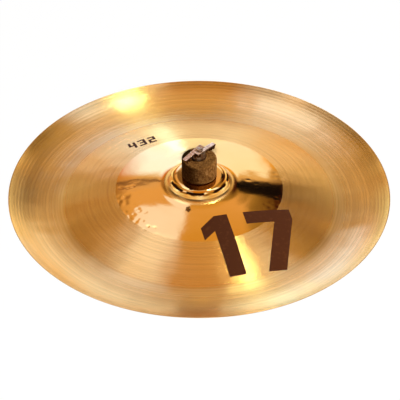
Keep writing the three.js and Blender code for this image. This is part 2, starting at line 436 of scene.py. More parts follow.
@dataclass(frozen=True)
class ZincPlate(Finish):
    """Bright zinc on steel, a little cloudy."""

    name: str = "zinc_plate"
    colour: Colour = (0.66, 0.65, 0.62)
    cloud: Colour = (0.52, 0.51, 0.49)
    roughness: float = 0.24
    uneven: float = 0.14
    contrast: Span = (0.35, 0.65)

    def paint(self, g: Graph, place: Term) -> Term:
        """The shader: spangled plate with fine pressing lines."""
        spangle = g.noise(place, 320.0, roughness=0.55)
        scratch = g.noise(g.stretched(place, (1.0, 1.0, 9.0)), 700.0, detail=2.0)
        colour = g.mix(g.smooth(spangle, *self.contrast), self.cloud, self.colour)
        lines = g.bump(scratch, distance=0.0002, strength=0.25)
        return g.shader(colour, self.roughness + self.uneven * spangle, lines, Metallic=1.0)


@dataclass(frozen=True)
class RolledSteel(Finish):
    """Plated steel whose thread was rolled, with oil darkening its grooves."""

    name: str = "rolled_steel"
    colour: Colour = (0.60, 0.41, 0.30)
    oiled: Colour = (0.15, 0.09, 0.055)
    roughness: float = 0.27
    uneven: float = 0.15
    contrast: Span = (0.3, 0.7)

    def paint(self, g: Graph, place: Term) -> Term:
        """The shader: patches of oil film and faint drawing lines."""
        film = g.noise(place, 240.0)
        line = g.noise(g.stretched(place, (6.0, 6.0, 1.0)), 500.0, detail=2.0)
        colour = g.mix(g.smooth(film, *self.contrast), self.oiled, self.colour)
        lines = g.bump(line, distance=0.0001, strength=0.25)
        return g.shader(colour, self.roughness + self.uneven * film, lines, Metallic=1.0)


@dataclass(frozen=True)
class MouldedNylon(Finish):
    """Black nylon straight from the mould."""

    name: str = "moulded_nylon"
    colour: Colour = (0.022, 0.022, 0.024)
    grained: Colour = (0.04, 0.04, 0.043)
    roughness: float = 0.42
    uneven: float = 0.15

    def paint(self, g: Graph, place: Term) -> Term:
        """The shader: a fine grain."""
        grain = g.noise(place, 1500.0)
        colour = g.mix(grain, self.colour, self.grained)
        relief = g.bump(grain, distance=0.0002, strength=0.2)
        return g.shader(colour, self.roughness + self.uneven * grain, relief)


@dataclass(frozen=True)
class MarkInk(Finish):
    """Dark screen-printed ink, thinner in places."""

    name: str = "mark_ink"
    colour: Colour = (0.043, 0.012, 0.004)
    thinned: Colour = (0.065, 0.022, 0.008)
    roughness: float = 0.5
    uneven: float = 0.2
    contrast: Span = (0.5, 0.75)

    def paint(self, g: Graph, place: Term) -> Term:
        """The shader: uneven ink."""
        thin = g.noise(place, 240.0, detail=4.0, roughness=0.6)
        colour = g.mix(g.smooth(thin, *self.contrast), self.colour, self.thinned)
        relief = g.bump(thin, distance=0.0001, strength=0.3)
        return g.shader(colour, self.roughness + self.uneven * thin, relief, Specular_IOR_Level=0.12)


# Meshes


def linked(name: str, data: bpy.types.ID) -> bpy.types.Object:
    """Makes an object and puts it into the scene."""
    made = bpy.data.objects.new(name, data)
    bpy.context.scene.collection.objects.link(made)
    return made


def aimed(name: str, data: bpy.types.ID, back: Vector, place: Vector) -> bpy.types.Object:
    """Puts a camera or a lamp into the scene at a place, its back towards a direction."""
    made = linked(name, data)
    made.location = place
    made.rotation_mode = "QUATERNION"
    made.rotation_quaternion = back.to_track_quat("Z", "Y")
    return made


def settled(body: bmesh.types.BMesh) -> bpy.types.Mesh:
    """Turns a finished bmesh into a mesh."""
    mesh = bpy.data.meshes.new("draft")
    body.to_mesh(mesh)
    body.free()
    return mesh


def place_mesh(name: str, mesh: bpy.types.Mesh, *materials: bpy.types.Material) -> bpy.types.Object:
    """Puts a mesh into the scene under a name, with its materials and smooth faces."""
    for each in materials:
        mesh.materials.append(each)
    mesh.name = name
    mesh.shade_smooth()
    return linked(name, mesh)


def grid_mesh(points: np.ndarray, zones: np.ndarray | None = None, closed: bool = True) -> bpy.types.Mesh:
    """Makes a mesh of quads from rows of points that close on themselves.

    Args:
        points: rows by columns by 3, in metres.
        zones: the material slot of the band after each row, where there is more than one.
        closed: whether the last row joins the first; otherwise a face closes each end.

    Returns:
        The mesh, with faces that look outwards when rows run anticlockwise round the section.
    """
    rows, columns = points.shape[:2]
    bands = rows if closed else rows - 1
    row = np.arange(bands)[:, None]
    column = np.arange(columns)[None, :]
    after_row, after_column = (row + 1) % rows, (column + 1) % columns
    corners = ((row, column), (row, after_column), (after_row, after_column), (after_row, column))
    faces = np.stack([here * columns + there for here, there in corners], axis=-1).reshape(-1, 4).tolist()
    if not closed:
        order = list(range(rows * columns))
        faces += [order[:columns][::-1], order[-columns:]]
    mesh = bpy.data.meshes.new("grid")
    mesh.from_pydata(points.reshape(-1, 3), [], faces)
    if zones is not None:
        mesh.polygons.foreach_set("material_index", np.repeat(zones[:bands], columns).astype(np.int32))
    return mesh


def round_points(radius: np.ndarray, angle: np.ndarray, height: np.ndarray) -> np.ndarray:
    """Points in metres from radii and heights in millimetres and angles, which broadcast together."""
    return np.stack([radius * np.cos(angle), radius * np.sin(angle), height + 0.0 * angle], axis=-1) * MM


def full_turn(sides: int) -> np.ndarray:
    """Angles spaced evenly round a circle, the last one step short of the first."""
    return np.linspace(0.0, 2.0 * np.pi, sides, endpoint=False)


def turned_points(section: np.ndarray, sides: int) -> np.ndarray:
    """Points of a body of revolution from a section of (radius, height) rows in millimetres."""
    return round_points(section[:, :1], full_turn(sides), section[:, 1:])


def rounded(corners: Sequence[Triple], steps: int = 4) -> np.ndarray:
    """A closed section whose corners are rounded.

    Args:
        corners: radius, height and rounding of each corner, in millimetres, anticlockwise.
        steps: how many faces a rounding takes.

    Returns:
        The section's points.
    """
    made = []
    for i, (r, z, rounding) in enumerate(corners):
        here = np.array([r, z])
        before = np.array(corners[i - 1][:2]) - here
        after = np.array(corners[(i + 1) % len(corners)][:2]) - here
        start = here + before / np.linalg.norm(before) * rounding
        end = here + after / np.linalg.norm(after) * rounding
        for share in np.linspace(0.0, 1.0, steps + 1):
            made.append((1 - share) ** 2 * start + 2 * share * (1 - share) * here + share**2 * end)
    return np.array(made)


@dataclass(frozen=True)
class Seat:
    """Where a piece belongs: its body, its record slot, which nothing here reads, and the nodes that it
    stands for.
    """

    body: Body
    slot: Slot
    nodes: tuple[str, ...] = ()

    def take(
        self, name: str, mesh: bpy.types.Mesh, finishes: Sequence[Finish], sharp: float | None = None
    ) -> bpy.types.Object:
        """Places a mesh, dresses it and fastens it to its body.

        Args:
            name: the piece's name.
            mesh: its shape.
            finishes: one for each of its material slots.
            sharp: the angle in degrees from which its edges stay sharp, if any do.

        Returns:
            The piece.
        """
        piece = place_mesh(name, mesh, *(finish.make() for finish in finishes))
        if sharp is not None:
            mesh.set_sharp_from_angle(angle=math.radians(sharp))
        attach(piece, self.body.value)
        if self.nodes:
            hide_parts(*self.nodes)
        return piece


# The cymbal


def along(value: np.ndarray | float, start: float, run: float) -> np.ndarray:
    """How far a value has come along a run from its start, from 0 to 1; a run may be below 0."""
    return np.clip((value - start) / run, 0.0, 1.0)


@dataclass
class Profile:
    """The upper surface of the cymbal from the hole to the rim, as [radius, height] in millimetres."""

    trough_height: float = 21.3
    hole_radius: float = 6.35
    rim_radius: float = 216.0
    sheet_at_hole: float = 1.1
    sheet_at_rim: float = 0.8
    polish_radius: float = 94.9
    bow_radius: float = 155.0
    foot_radius: float = 49.0
    curve_points: int = 400
    curves: tuple[tuple[Point, ...], ...] = (
        ((6.35, 38.7), (15.175, 38.7), (24.0, 38.2)),
        ((24.0, 38.2), (33.0, 37.8), (35.0, 31.0)),
        ((35.0, 31.0), (36.11, 27.226), (49.0, 25.8117)),
        ((49.0, 25.8117), (102.0, 19.9961), (155.0, 1.6)),
        ((155.0, 1.6), (159.61, 0.0), (164.0, 0.0)),
        ((164.0, 0.0), (183.76, 0.0), (199.88, 2.99), (216.0, 13.0)),
    )
    dense: np.ndarray = field(init=False)

    def __post_init__(self) -> None:
        """Lays a dense line along the curves."""
        parts = []
        share = np.linspace(0.0, 1.0, self.curve_points)[:, None]
        for curve in self.curves:
            points = [np.array(p) for p in curve]
            while len(points) > 1:
                points = [(1 - share) * a + share * b for a, b in zip(points, points[1:])]
            parts.append(points[0][1:] if parts else points[0])
        self.dense = np.vstack(parts)
        self.dense[:, 1] += self.trough_height

    def height(self, radius: np.ndarray) -> np.ndarray:
        """Height of the upper surface at a radius."""
        return np.interp(radius, self.dense[:, 0], self.dense[:, 1])

    def thickness(self, radius: np.ndarray) -> np.ndarray:
        """Thickness of the sheet at a radius."""
        share = (radius - self.hole_radius) / (self.rim_radius - self.hole_radius)
        return self.sheet_at_hole + (self.sheet_at_rim - self.sheet_at_hole) * share

    def line(self, radii: Sequence[float], steps: Sequence[float]) -> list[np.ndarray]:
        """Stretches of the line from radius to radius, each evenly spaced by about its own step."""
        made = [self._spaced(a, b, step) for a, b, step in zip(radii, radii[1:], steps)]
        return [made[0], *(stretch[1:] for stretch in made[1:])]

    def _spaced(self, start: float, end: float, step: float) -> np.ndarray:
        """Points along the line between two radii, evenly spaced by about step."""
        line = self.dense[(self.dense[:, 0] >= start - 1e-6) & (self.dense[:, 0] <= end + 1e-6)]
        run = np.concatenate([[0.0], np.cumsum(np.hypot(*np.diff(line, axis=0).T))])
        places = np.linspace(0.0, run[-1], max(2, round(run[-1] / step) + 1))
        return np.stack([np.interp(places, run, line[:, 0]), np.interp(places, run, line[:, 1])], axis=-1)

    @staticmethod
    def normals(line: np.ndarray) -> np.ndarray:
        """Unit normals of a line, on its left side, which is up for a line that runs outwards."""
        tangent = np.gradient(line, axis=0)
        tangent /= np.hypot(tangent[:, 0], tangent[:, 1])[:, None]
        return np.stack([-tangent[:, 1], tangent[:, 0]], axis=-1)


class Zone(int, Enum):
    """The cymbal's material slots."""

    POLISHED = 0
    BOW = 1
    FLANGE = 2
    UNDERSIDE = 3


@dataclass
class CymbalPlate:
    """The bronze plate: polished bell and inner bow, lathed outer bow and flange, hammered all over.

    The drops fade along a start and a run, and so does the ridges' growth, above its least share. Wander
    pairs a share of the pitch with a rate per millimetre; swell is a share and two such rates. Lengths,
    sizes and shares of waves and dents are the least and the most. A dent field has its middle and its
    spread in degrees, its count and its greatest depth.
    """

    profile: Profile = field(default_factory=Profile)
    sides: int = 352
    upper_steps: tuple[float, ...] = (1.25, 1.6, 0.70, 0.84)
    lower_steps: tuple[float, ...] = (3.0, 7.5)
    hole_rounding: float = 0.3
    hole_points: int = 3
    rim_rounding: float = 0.38
    rim_points: int = 4
    bow_pitch: float = 3.28
    bow_ridge: float = 0.034
    flange_pitch: float = 4.45
    flange_ridge: float = 0.115
    ridge_end: float = 3.0
    ridge_growth: Triple = (100.0, 40.0, 0.25)
    ridge_wander: tuple[Span, ...] = ((0.30, 0.21), (0.2, 0.093))
    ridge_swell: Triple = (0.30, 0.157, 0.061)
    drop_inside: Span = (44.0, 16.0)
    drop_outside: Span = (214.0, -20.0)
    waves: int = 26
    wave_length: Span = (18.0, 44.0)
    wave_size: float = 0.0011
    wave_mean: float = 0.22
    wave_share: float = 0.28
    dent_fields: tuple[tuple[float, float, int, float], ...] = (
        (150.0, 30.0, 46, 0.20),
        (4.0, 22.0, 26, 0.10),
    )
    dent_edge: float = 97.0
    dent_spread: float = 13.0
    dent_size: Span = (1.5, 2.5)
    dent_share: Span = (0.25, 1.0)
    dent_reach: float = 4.0
    seed: int = 17

    def build(self) -> bpy.types.Object:
        """Makes the plate and fastens it to its body."""
        section, zones, above = self._section()
        points = self._hammered(turned_points(section, self.sides), above)
        finishes = [
            PolishedBronze(),
            LathedBronze("lathed_bow"),
            LathedBronze("lathed_flange", colour=(0.99, 0.66, 0.293), groove=(0.88, 0.565, 0.235)),
            LathedBronze(
                "lathed_underside",
                colour=(0.72, 0.42, 0.15),
                groove=(0.56, 0.30, 0.10),
                roughness=0.36,
                grain=0.8,
                dullness=0.08,
            ),
        ]
        seat = Seat(Body.CYMBAL, Slot.BRONZE, ("cymbal",))
        return seat.take("cymbal_plate", grid_mesh(points, zones), finishes)

    def _section(self) -> tuple[np.ndarray, np.ndarray, np.ndarray]:
        """The closed section of the plate.

        Returns:
            The points, the zone of the band after each, and 1 for points of the upper surface.
        """
        form = self.profile
        start, end = form.hole_radius + self.hole_rounding, form.rim_radius - self.rim_rounding
        radii = (start, form.foot_radius, form.polish_radius, form.bow_radius, end)
        bell, inner, bow, flange = form.line(radii, self.upper_steps)
        for line in (bow, flange):
            line[:, 1] -= self.ridges(line[:, 0])
        upper = np.vstack([bell, inner, bow, flange])
        lower = np.vstack(form.line((start, form.foot_radius, end), self.lower_steps))
        lower = lower - form.normals(lower) * form.thickness(lower[:, 0])[:, None]
        rim = self._turned_edge(lower[-1], upper[-1], form.rim_radius, self.rim_points)
        hole = self._turned_edge(upper[0], lower[0], form.hole_radius, self.hole_points)
        points = np.vstack([lower, rim, upper[::-1], hole])
        points[:, 0] = np.clip(points[:, 0], form.hole_radius, form.rim_radius)
        polished = len(inner) + len(bell) + len(hole)
        counts = (len(lower), len(rim) + len(flange), len(bow), polished)
        zones = np.repeat((Zone.UNDERSIDE, Zone.FLANGE, Zone.BOW, Zone.POLISHED), counts)
        above = np.repeat((0.0, 1.0, 0.0), (len(lower) + len(rim), len(upper), len(hole)))
        return points, zones, above

    def ridges(self, radius: np.ndarray) -> np.ndarray:
        """Depth of the lathe ridges in millimetres, uneven in height and spacing."""
        form = self.profile
        swell, quick, slow = self.ridge_swell
        total = np.zeros_like(radius)
        for start, end, pitch, height in (
            (form.polish_radius, form.bow_radius, self.bow_pitch, self.bow_ridge),
            (form.bow_radius, form.rim_radius, self.flange_pitch, self.flange_ridge),
        ):
            phase = radius / pitch
            for share, rate in self.ridge_wander:
                phase = phase + share * np.sin(radius * rate)
            strength = 1.0 - swell + swell * np.sin(radius * quick) * np.sin(radius * slow + 1.0)
            ends = along(radius, start, self.ridge_end) * along(radius, end, -self.ridge_end)
            ends *= np.maximum(along(radius, *self.ridge_growth[:2]), self.ridge_growth[2])
            total += 0.5 * (1.0 - np.cos(2.0 * np.pi * phase)) * height * strength * ends
        return total

    def surface(self, x: np.ndarray, y: np.ndarray) -> np.ndarray:
        """Height of the finished upper surface in millimetres."""
        radius = np.hypot(x, y)
        return self.profile.height(radius) - self.ridges(radius) - self._drop(x, y) - self._dents(x, y)

    @staticmethod
    def _turned_edge(start: np.ndarray, end: np.ndarray, reach: float, count: int) -> np.ndarray:
        """The points of a rounded edge between two points of the section, which bulges to a radius."""
        middle = (start + end) / 2.0
        side = end - middle
        out = np.array([reach - middle[0], 0.0])
        angles = np.linspace(-np.pi / 2, np.pi / 2, count + 2)[1:-1]
        return np.array([middle + np.sin(a) * side + np.cos(a) * out for a in angles])

    def _hammered(self, points: np.ndarray, above: np.ndarray) -> np.ndarray:
        """Pushes hammer marks into the sheet.

        Args:
            points: rows of points round the plate, in metres.
            above: 1 for rows of the upper surface.

        Returns:
            The points with broad, soft unevenness everywhere and small dents round the polished zone.
        """
        x, y = points[..., 0] / MM, points[..., 1] / MM
        made = points.copy()
        made[..., 2] -= (self._drop(x, y) + self._dents(x, y) * above[:, None]) * MM
        return made

    def _drop(self, x: np.ndarray, y: np.ndarray) -> np.ndarray:
        """How far broad hammering sinks the sheet, in millimetres, fading out at the bell and the rim."""
        radius = np.hypot(x, y)
        return self._waves(x, y) * along(radius, *self.drop_inside) * along(radius, *self.drop_outside)

    def _waves(self, x: np.ndarray, y: np.ndarray) -> np.ndarray:
        """Broad unevenness in millimetres, always downwards."""
        source = random.Random(self.seed)
        total = np.zeros_like(x)
        for _ in range(self.waves):
            length = source.uniform(*self.wave_length)
            turn = source.uniform(0.0, 2.0 * math.pi)
            shift = source.uniform(0.0, 2.0 * math.pi)
            across = x * math.cos(turn) + y * math.sin(turn)
            total += self.wave_size * length * np.sin(2.0 * np.pi * across / length + shift)
        return self.wave_mean + self.wave_share * total

    def _dents(self, x: np.ndarray, y: np.ndarray) -> np.ndarray:
        """Small round hammer marks in millimetres of depth, in the fields on the left and the right."""
        source = random.Random(self.seed + 1)
        total = np.zeros_like(x)
        for middle, spread, count, deepest in self.dent_fields:
            for _ in range(count):
                radius = self.dent_edge - abs(source.gauss(0.0, self.dent_spread))
                turn = math.radians(middle + source.uniform(-1.0, 1.0) * spread)
                size = source.uniform(*self.dent_size)
                depth = deepest * source.uniform(*self.dent_share)
                dx, dy = x - radius * math.cos(turn), y + radius * math.sin(turn)
                near = np.maximum(np.abs(dx), np.abs(dy)) < self.dent_reach * size
                total[near] += depth * np.exp(-(dx[near] ** 2 + dy[near] ** 2) / size**2)
        return total


DIGITS: Mapping[str, tuple[Point, ...]] = {
    "1": ((0.17, 0.0), (0.40, 0.0), (0.40, 1.0), (0.22, 1.0), (0.0, 0.83), (0.0, 0.62), (0.17, 0.74)),
    "7": ((0.08, 0.0), (0.33, 0.0), (0.64, 0.82), (0.64, 1.0), (0.0, 1.0), (0.0, 0.79), (0.38, 0.79)),
    "2": (
        (0.0, 0.0), (0.6, 0.0), (0.6, 0.18), (0.2, 0.18), (0.2, 0.41), (0.6, 0.41),
        (0.6, 1.0), (0.0, 1.0), (0.0, 0.82), (0.4, 0.82), (0.4, 0.59), (0.0, 0.59),
    ),
    "3": (
        (0.0, 0.0), (0.6, 0.0), (0.6, 1.0), (0.0, 1.0), (0.0, 0.82), (0.4, 0.82),
        (0.4, 0.59), (0.1, 0.59), (0.1, 0.41), (0.4, 0.41), (0.4, 0.18), (0.0, 0.18),
    ),
    "4": (
        (0.4, 0.0), (0.6, 0.0), (0.6, 1.0), (0.4, 1.0), (0.4, 0.55), (0.2, 0.55),
        (0.2, 1.0), (0.0, 1.0), (0.0, 0.37), (0.4, 0.37),
    ),
}


@dataclass
class NumberMark:
    """A plain number in dark ink, a thin skin that follows the plate's surface."""

    plate: CymbalPlate
    name: str
    digits: str
    height: float
    centre: Point
    turn: float
    slant: float = 0.0
    gap: float = 0.22
    spacing: float = 1.3
    proud: float = 0.05
    depth: float = 0.12

    def build(self) -> bpy.types.Object:
        """Makes the number and fastens it to the plate's body."""
        grown = bmesh.new()
        for outline in self._laid_out():
            self._add_skin(grown, outline)
        ink = MarkInk(name=self.name + "_ink")
        return Seat(Body.CYMBAL, Slot.BRONZE).take(self.name, settled(grown), [ink], sharp=40.0)

    def _laid_out(self) -> list[list[Point]]:
        """The digits' outlines on the plate, in millimetres from the axis."""
        widths = [max(x for x, _ in DIGITS[d]) for d in self.digits]
        total = sum(widths) + self.gap * (len(self.digits) - 1)
        cos, sin = math.cos(self.turn), math.sin(self.turn)
        start = -total / 2
        made = []
        for digit, width in zip(self.digits, widths, strict=True):
            placed = []
            for x, y in DIGITS[digit]:
                u = (start + x + self.slant * (y - 0.5)) * self.height
                v = (y - 0.5) * self.height
                placed.append((self.centre[0] + u * cos - v * sin, self.centre[1] + u * sin + v * cos))
            made.append(placed)
            start += width + self.gap
        return made

    def _add_skin(self, grown: bmesh.types.BMesh, outline: list[Point]) -> None:
        """Adds one closed outline as a thin solid skin.

        Args:
            grown: the mesh that takes it.
            outline: its corners, anticlockwise.
        """
        border = []
        for i, corner in enumerate(outline):
            here, after = Vector(corner), Vector(outline[(i + 1) % len(outline)])
            steps = max(1, round((after - here).length / self.spacing))
            border += [here.lerp(after, k / steps) for k in range(steps)]
        low, high = (limit([tuple(p) for p in border], axis=0) for limit in (np.min, np.max))
        inside = [
            Vector((x, y))
            for x in np.arange(low[0], high[0], self.spacing)
            for y in np.arange(low[1], high[1], self.spacing)
            if self._well_inside(x, y, outline)
        ]
        flat, _, faces, *_ = delaunay_2d_cdt(border + inside, [], [list(range(len(border)))], 1, 1e-4)
        x, y = np.array([p.x for p in flat]), np.array([p.y for p in flat])
        z = self.plate.surface(x, y) + self.proud
        tops, floors = (
            [grown.verts.new(point) for point in np.stack([x, y, level], axis=-1) * MM]
            for level in (z, z - self.depth)
        )
        for face in faces:
            grown.faces.new([tops[i] for i in face])
            grown.faces.new([floors[i] for i in reversed(face)])
        edges = dict.fromkeys(edge for face in faces for edge in zip(face, face[1:] + face[:1]))
        for a, b in edges:
            if (b, a) not in edges:
                grown.faces.new((tops[b], tops[a], floors[a], floors[b]))

    def _well_inside(self, x: float, y: float, outline: list[Point]) -> bool:
        """Whether a point lies in the outline and not close to its edge."""
        inside = False
        for (ax, ay), (bx, by) in zip(outline, outline[1:] + outline[:1]):
            if (ay > y) != (by > y) and x < (bx - ax) * (y - ay) / (by - ay) + ax:
                inside = not inside
            run = Vector((bx - ax, by - ay))
            share = min(1.0, max(0.0, Vector((x - ax, y - ay)).dot(run) / run.length_squared))
            if (Vector((x, y)) - Vector((ax, ay)) - run * share).length < 0.5 * self.spacing:
                return False
        return inside


# Felts and hardware


@dataclass
class FeltRing:
    """A thick washer of pressed felt with soft edges, matted in lumps that each have a scale and a depth."""

    node: str
    radius: float
    floor: float
    height: float
    joined: tuple[Body, Body]
    bore: float = 6.0
    inset: float = 0.02
    top_edge: float = 2.0
    floor_edge: float = 1.0
    bore_edge: float = 0.5
    edge_steps: int = 6
    sides: int = 168
    step: float = 0.75
    seed: float = 0.0
    lumps: tuple[Span, ...] = ((0.16, 0.30), (0.95, 0.20))
    bore_share: float = 0.15
    sinking: float = 0.7

    def build(self) -> bpy.types.Object:
        """Makes the ring in place; it is fastened to no body."""
        floor, top = self.floor + self.inset, self.floor + self.height - self.inset
        corners = (
            (self.bore, floor, self.bore_edge),
            (self.radius, floor, self.floor_edge),
            (self.radius, top, self.top_edge),
            (self.bore, top, self.bore_edge),
        )
        section = self._filled(rounded(corners, self.edge_steps))
        mesh = grid_mesh(self._matted(turned_points(section, self.sides)))
        piece = place_mesh(self.node + "_ring", mesh, PressedFelt(name=self.node + "_wool").make())
        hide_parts(self.node)
        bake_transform(piece)
        return piece

    def _filled(self, outline: np.ndarray) -> np.ndarray:
        """The outline with points added along its long stretches."""
        made = []
        for here, after in zip(outline, np.roll(outline, -1, axis=0)):
            steps = max(1, round(float(np.hypot(*(after - here))) / self.step))
            made += [here + (after - here) * k / steps for k in range(steps)]
        return np.array(made)

    def _matted(self, points: np.ndarray) -> np.ndarray:
        """Draws the surface in by small lumps, so that it stays within its solid."""
        made = points.copy()
        middle = (self.floor + self.height / 2) * MM
        for i, j in np.ndindex(points.shape[:2]):
            x, y, z = points[i, j]
            at = Vector((x, y, z)) / MM + Vector((self.seed, 0.0, 0.0))
            pull = sum(depth * (0.5 + 0.5 * noise.noise(at * scale)) for scale, depth in self.lumps)
            radius = math.hypot(x, y) / MM
            outward = (radius - self.bore) / (self.radius - self.bore)
            if outward > self.bore_share:
                made[i, j, 0] -= x / radius * pull * outward
                made[i, j, 1] -= y / radius * pull * outward
            made[i, j, 2] += (middle - z) / (self.height / 2) * pull * self.sinking
        return made


@dataclass
class ThreadedRod:
    """The M8 rod, with its thread as a real helix and its ends chamfered."""

    radius: float = 4.0
    root: float = 3.27
    pitch: float = 1.25
    crest: float = 0.14
    flank: float = 0.6
    length: float = 96.3
    chamfer: float = 0.8
    sides: int = 40
    rows_per_turn: int = 10

    def build(self) -> bpy.types.Object:
        """Makes the rod and fastens it to its body."""
        rows = round(self.length / self.pitch * self.rows_per_turn) + 1
        height = np.linspace(0.0, self.length, rows)[:, None]
        angle = full_turn(self.sides)
        turn = (height / self.pitch - angle / (2.0 * np.pi)) % 1.0
        depth = (self.radius - self.root) * along(np.abs(2.0 * turn - 1.0), self.crest, self.flank)
        radius = self.radius - depth
        radius = np.minimum(radius, self.radius - self.chamfer + np.minimum(height, self.length - height))
        mesh = grid_mesh(round_points(radius, angle, height), closed=False)
        seat = Seat(Body.ROD, Slot.ROD, ("threaded_rod",))
        return seat.take("rod_thread", mesh, [RolledSteel()], sharp=50.0)


@dataclass
class HexNut:
    """The locked M8 nut below the cup washer, its corners chamfered."""

    flats: float = 13.0
    height: float = 6.5
    floor: float = 36.4
    chamfer: float = 1.0
    chamfer_rows: int = 8
    bore: float = 4.3
    bore_chamfer: float = 0.45
    sides: int = 144

    def build(self) -> bpy.types.Object:
        """Makes the nut and fastens it to the rod's body."""
        angle = full_turn(self.sides)
        sixth = np.pi / 3.0
        hexagon = self.flats / 2.0 / np.cos((angle % sixth) - sixth / 2.0)
        low = np.concatenate([np.linspace(0.0, self.chamfer, self.chamfer_rows)[1:], [self.height / 2]])
        rises = np.concatenate([[0.0], low, self.height - low[::-1][1:], [self.height]])
        cone = self.flats / 2.0 + np.minimum(rises, self.height - rises)[:, None]
        mouth, inset = self.bore + self.bore_chamfer, self.bore_chamfer
        inner = np.array([mouth, self.bore, self.bore, mouth])[:, None].repeat(self.sides, axis=1)
        radius = np.vstack([np.minimum(hexagon, cone), inner])
        inner_rises = [self.height, self.height - inset, inset, 0.0]
        rises = np.concatenate([rises, inner_rises])[:, None] + self.floor
        mesh = grid_mesh(round_points(radius, angle, rises))
        seat = Seat(Body.ROD, Slot.PLATE, ("hex_nut",))
        return seat.take("carrier_nut", mesh, [ZincPlate(name="nut_plate")], sharp=24.0)


@dataclass
class TurnedPiece:
    """A piece that is turned or pressed round: a section with rounded corners."""

    name: str
    seat: Seat
    finish: Finish
    corners: tuple[Triple, ...]
    sides: int = 144

    def build(self) -> bpy.types.Object:
        """Makes the piece and fastens it to its body."""
        mesh = grid_mesh(turned_points(rounded(self.corners), self.sides))
        return self.seat.take(self.name, mesh, [self.finish], sharp=50.0)


def stack_pieces() -> list[TurnedPiece]:
    """The cup washer, the sleeve and the washer under the wing nut."""
    return [
        TurnedPiece(
            "cup_washer_pressing",
            Seat(Body.ROD, Slot.PLATE, ("cup_washer",)),
            ZincPlate(name="cup_plate"),
            (
                (4.3, 43.2, 0.2), (11.34, 43.2, 1.5), (12.14, 45.1, 0.9), (20.63, 45.1, 1.6),
                (21.8, 49.46, 0.25), (20.68, 49.9, 0.25), (19.8, 46.3, 0.9), (11.0, 46.3, 1.5),
                (10.6, 44.4, 0.6), (4.3, 44.4, 0.2),
            ),
        ),
        TurnedPiece(
            "sleeve_moulding",
            Seat(Body.SLEEVE, Slot.NYLON, ("sleeve",)),
            MouldedNylon(),
            (
                (4.3, 44.7, 0.2), (10.0, 44.7, 0.3), (10.0, 46.3, 0.3), (5.5, 46.3, 0.35),
                (5.5, 68.0, 0.5), (4.3, 68.0, 0.2),
            ),
        ),
        TurnedPiece(
            "top_washer",
            Seat(Body.NUT_WASHER, Slot.PLATE, ("nut_washer",)),
            # the washer's zinc is darkened to brown as painted shade under the wing nut's hub
            ZincPlate(name="shaded_washer_plate", colour=(0.30, 0.22, 0.16), cloud=(0.17, 0.11, 0.075)),
            ((4.3, 84.2, 0.1), (8.0, 84.2, 0.2), (8.0, 85.8, 0.25), (4.3, 85.8, 0.15)),
            sides=96,
        ),
    ]


